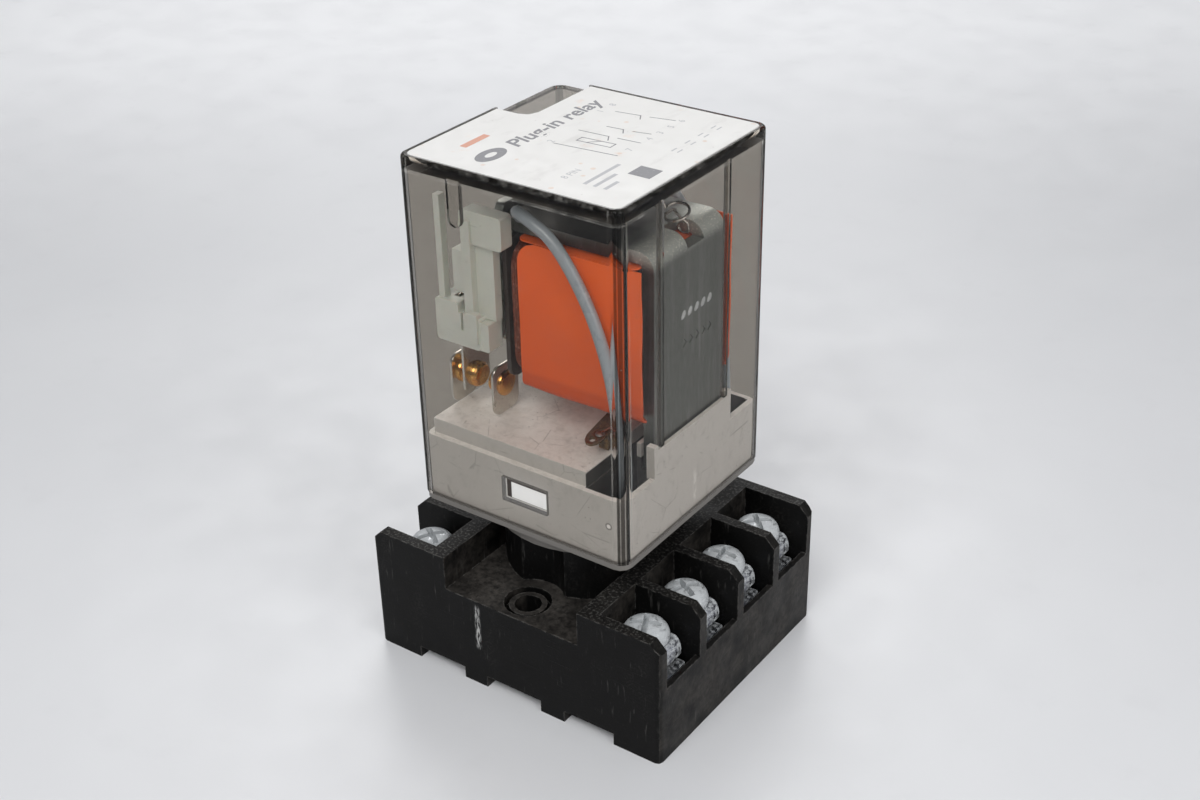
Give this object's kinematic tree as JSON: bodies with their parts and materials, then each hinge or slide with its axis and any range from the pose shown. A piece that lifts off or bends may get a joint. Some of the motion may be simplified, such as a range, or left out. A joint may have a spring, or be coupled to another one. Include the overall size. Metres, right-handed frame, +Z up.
{
  "type": "plug in relay",
  "caption": "Square relay with a smoked clear cover over coil and contacts, plugged by round-base pins into a low black socket with open screw terminals at its sides.",
  "frame": {"origin": "centre of the socket's underside, on the mounting plane", "axes": "+Z up, the way the relay pulls out; +X along the socket's long side, from one row of terminals to the other; -Y is the front, the side with the cover's latch window nearer the viewer of the picture"},
  "size_m": [0.051, 0.042, 0.08],
  "materials": {
    "black_plastic": "moulded black phenolic, dusty on the platform",
    "plated_steel": "plated strip",
    "zinc": "dull zinc plate, lightly corroded",
    "brass": "bright, lightly tarnished",
    "grey_plastic": "moulded warm grey, fine marks",
    "steel": "dull plated steel",
    "spring_steel": "bright spring wire",
    "copper": "enamelled copper",
    "bobbin_plastic": "dark moulded nylon",
    "orange_tape": "matt orange insulating sheet",
    "contact_strip": "nickel silver strip with gilt rivet heads",
    "grey_wire": "grey insulated flexible lead",
    "carrier_plastic": "moulded pale grey",
    "smoked_plastic": "clear smoked polycarbonate, scuffed",
    "label_card": "white printed label, lightly stained"
  },
  "bodies": {
    "socket": {"socket_body": "black_plastic", "terminal_1": "plated_steel", "terminal_2": "plated_steel", "terminal_3": "plated_steel", "terminal_4": "plated_steel", "terminal_5": "plated_steel", "terminal_6": "plated_steel", "terminal_7": "plated_steel", "terminal_8": "plated_steel"},
    "clamp_1": {"clamp_plate_1": "zinc"},
    "screw_1": {"terminal_screw_1": "zinc"},
    "clamp_2": {"clamp_plate_2": "zinc"},
    "screw_2": {"terminal_screw_2": "zinc"},
    "clamp_3": {"clamp_plate_3": "zinc"},
    "screw_3": {"terminal_screw_3": "zinc"},
    "clamp_4": {"clamp_plate_4": "zinc"},
    "screw_4": {"terminal_screw_4": "zinc"},
    "clamp_5": {"clamp_plate_5": "zinc"},
    "screw_5": {"terminal_screw_5": "zinc"},
    "clamp_6": {"clamp_plate_6": "zinc"},
    "screw_6": {"terminal_screw_6": "zinc"},
    "clamp_7": {"clamp_plate_7": "zinc"},
    "screw_7": {"terminal_screw_7": "zinc"},
    "clamp_8": {"clamp_plate_8": "zinc"},
    "screw_8": {"terminal_screw_8": "zinc"},
    "relay": {"relay_base": "grey_plastic", "octal_pin_1": "brass", "octal_pin_2": "brass", "octal_pin_3": "brass", "octal_pin_4": "brass", "octal_pin_5": "brass", "octal_pin_6": "brass", "octal_pin_7": "brass", "octal_pin_8": "brass", "yoke": "steel", "core": "steel", "shading_ring": "copper", "coil_bobbin": "bobbin_plastic", "coil_winding": "copper", "coil_tape": "orange_tape", "coil_tab_front": "brass", "coil_tab_rear": "brass", "coil_lead_front": "copper", "coil_lead_rear": "copper", "closed_contact_front": "contact_strip", "closed_contact_rear": "contact_strip", "open_contact_front": "contact_strip", "open_contact_rear": "contact_strip", "pigtail_front": "grey_wire", "pigtail_rear": "grey_wire", "return_spring": "spring_steel"},
    "armature": {"armature": "steel", "contact_carrier": "carrier_plastic", "moving_contact_front": "contact_strip", "moving_contact_rear": "contact_strip"},
    "cover": {"cover": "smoked_plastic", "label": "label_card"}
  },
  "joints": [
    {"name": "relay_pull", "type": "slide", "parent": "socket", "child": "relay", "axis": [0, 0, 1], "range_m": [0, 0.03]},
    {"name": "cover_lift", "type": "slide", "parent": "relay", "child": "cover", "axis": [0, 0, 1], "range_m": [0, 0.054]},
    {"name": "armature_hinge", "type": "hinge", "parent": "relay", "child": "armature", "pos_m": [-0.0082, 0, 0.0706], "axis": [0, -1, 0], "range_deg": [0, 3.8]},
    {"name": "clamp_1_lift", "type": "slide", "parent": "socket", "child": "clamp_1", "axis": [0, 0, 1], "range_m": [-0.0012, 0.0019]},
    {"name": "screw_1_turn", "type": "hinge", "parent": "clamp_1", "child": "screw_1", "pos_m": [-0.0192, -0.015, 0.0156], "axis": [0, 0, 1], "range_deg": [-720, 1152]},
    {"name": "clamp_2_lift", "type": "slide", "parent": "socket", "child": "clamp_2", "axis": [0, 0, 1], "range_m": [-0.0012, 0.0019]},
    {"name": "screw_2_turn", "type": "hinge", "parent": "clamp_2", "child": "screw_2", "pos_m": [-0.0192, -0.005, 0.0156], "axis": [0, 0, 1], "range_deg": [-720, 1152]},
    {"name": "clamp_3_lift", "type": "slide", "parent": "socket", "child": "clamp_3", "axis": [0, 0, 1], "range_m": [-0.0012, 0.0019]},
    {"name": "screw_3_turn", "type": "hinge", "parent": "clamp_3", "child": "screw_3", "pos_m": [-0.0192, 0.005, 0.0156], "axis": [0, 0, 1], "range_deg": [-720, 1152]},
    {"name": "clamp_4_lift", "type": "slide", "parent": "socket", "child": "clamp_4", "axis": [0, 0, 1], "range_m": [-0.0012, 0.0019]},
    {"name": "screw_4_turn", "type": "hinge", "parent": "clamp_4", "child": "screw_4", "pos_m": [-0.0192, 0.015, 0.0156], "axis": [0, 0, 1], "range_deg": [-720, 1152]},
    {"name": "clamp_5_lift", "type": "slide", "parent": "socket", "child": "clamp_5", "axis": [0, 0, 1], "range_m": [-0.0012, 0.0019]},
    {"name": "screw_5_turn", "type": "hinge", "parent": "clamp_5", "child": "screw_5", "pos_m": [0.0192, -0.015, 0.0156], "axis": [0, 0, 1], "range_deg": [-720, 1152]},
    {"name": "clamp_6_lift", "type": "slide", "parent": "socket", "child": "clamp_6", "axis": [0, 0, 1], "range_m": [-0.0012, 0.0019]},
    {"name": "screw_6_turn", "type": "hinge", "parent": "clamp_6", "child": "screw_6", "pos_m": [0.0192, -0.005, 0.0156], "axis": [0, 0, 1], "range_deg": [-720, 1152]},
    {"name": "clamp_7_lift", "type": "slide", "parent": "socket", "child": "clamp_7", "axis": [0, 0, 1], "range_m": [-0.0012, 0.0019]},
    {"name": "screw_7_turn", "type": "hinge", "parent": "clamp_7", "child": "screw_7", "pos_m": [0.0192, 0.005, 0.0156], "axis": [0, 0, 1], "range_deg": [-720, 1152]},
    {"name": "clamp_8_lift", "type": "slide", "parent": "socket", "child": "clamp_8", "axis": [0, 0, 1], "range_m": [-0.0012, 0.0019]},
    {"name": "screw_8_turn", "type": "hinge", "parent": "clamp_8", "child": "screw_8", "pos_m": [0.0192, 0.015, 0.0156], "axis": [0, 0, 1], "range_deg": [-720, 1152]}
  ],
  "couplings": [
    {"joint": "screw_1_turn", "follows": "clamp_1_lift", "rad_per_m": 10472},
    {"joint": "screw_2_turn", "follows": "clamp_2_lift", "rad_per_m": 10472},
    {"joint": "screw_3_turn", "follows": "clamp_3_lift", "rad_per_m": 10472},
    {"joint": "screw_4_turn", "follows": "clamp_4_lift", "rad_per_m": 10472},
    {"joint": "screw_5_turn", "follows": "clamp_5_lift", "rad_per_m": 10472},
    {"joint": "screw_6_turn", "follows": "clamp_6_lift", "rad_per_m": 10472},
    {"joint": "screw_7_turn", "follows": "clamp_7_lift", "rad_per_m": 10472},
    {"joint": "screw_8_turn", "follows": "clamp_8_lift", "rad_per_m": 10472}
  ]
}
